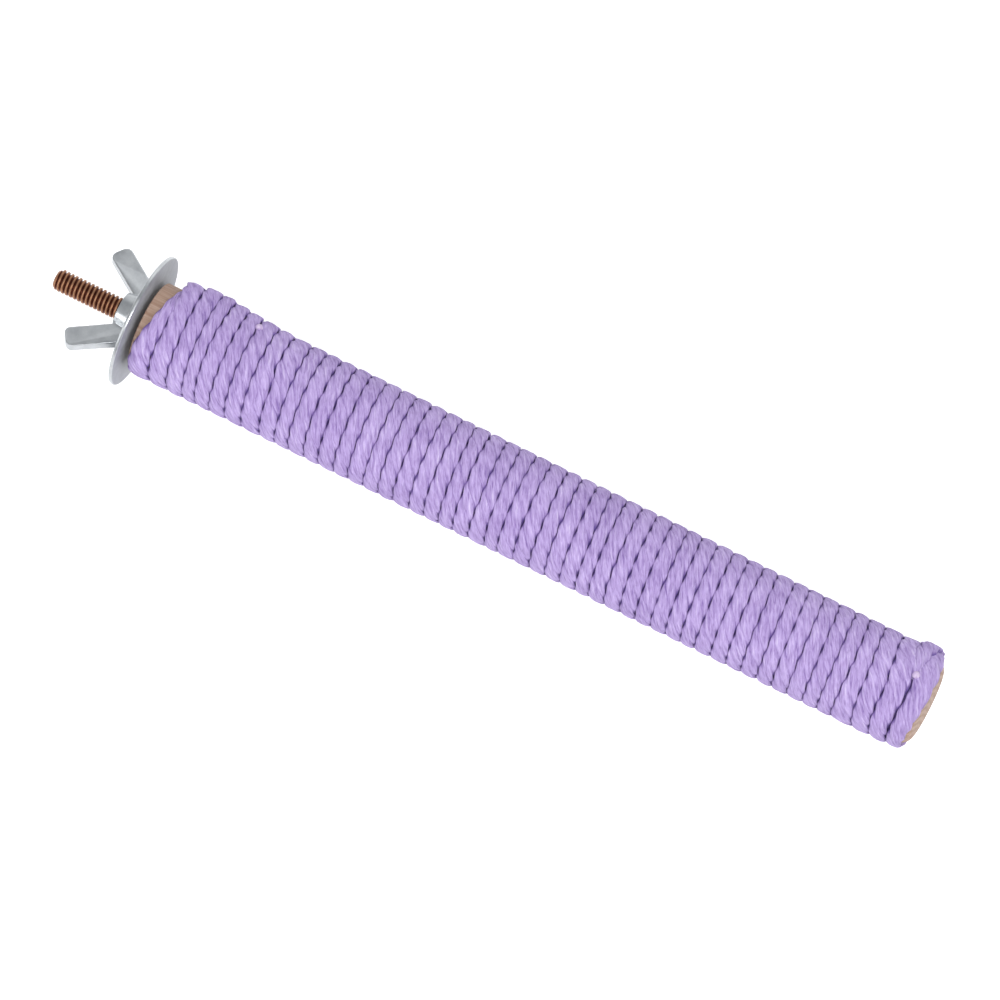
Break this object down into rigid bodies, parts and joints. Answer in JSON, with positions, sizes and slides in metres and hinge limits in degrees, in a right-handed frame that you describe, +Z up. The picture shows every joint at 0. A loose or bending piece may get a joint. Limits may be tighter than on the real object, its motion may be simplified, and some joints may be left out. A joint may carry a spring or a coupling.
{
  "type": "bird perch",
  "caption": "Straight round perch wound with twisted cotton rope, with a threaded stud, a large washer and a wing nut at one end to clamp it to cage wires.",
  "frame": {"origin": "centre of the dowel's end face at the cage end, where the clamped cage wires bear", "axes": "+X along the perch from the cage end to the free end, with the stud pointing to -X; +Z up, +Y to the left of +X"},
  "size_m": [0.2702, 0.0392, 0.0392],
  "materials": {
    "dowel_wood": "bare sanded hardwood dowel",
    "cotton_rope": "dyed three-strand twisted cotton, slightly fuzzy",
    "glue": "set drop of pale craft glue",
    "bolt_steel": "steel with a copper-coloured plating, rolled thread",
    "washer_zinc": "bright zinc plating on stamped steel",
    "nut_zinc": "bright zinc plating on forged steel"
  },
  "bodies": {
    "perch": {"wood_core": "dowel_wood", "rope_winding": "cotton_rope", "start_glue": "glue", "end_glue": "glue", "hanger_bolt": "bolt_steel"},
    "clamp_washer": {"washer": "washer_zinc"},
    "nut": {"wing_nut": "nut_zinc"}
  },
  "joints": [
    {"name": "washer_slide", "type": "slide", "parent": "perch", "child": "clamp_washer", "axis": [-1, 0, 0], "range_m": [-0.0013, 0.0248]},
    {"name": "nut_spin", "type": "hinge", "parent": "clamp_washer", "child": "nut", "pos_m": [0, 0, 0], "axis": [-1, 0, 0], "range_deg": [-365, 7020]}
  ],
  "couplings": [
    {"joint": "washer_slide", "follows": "nut_spin", "m_per_rad": 0.00020213}
  ]
}
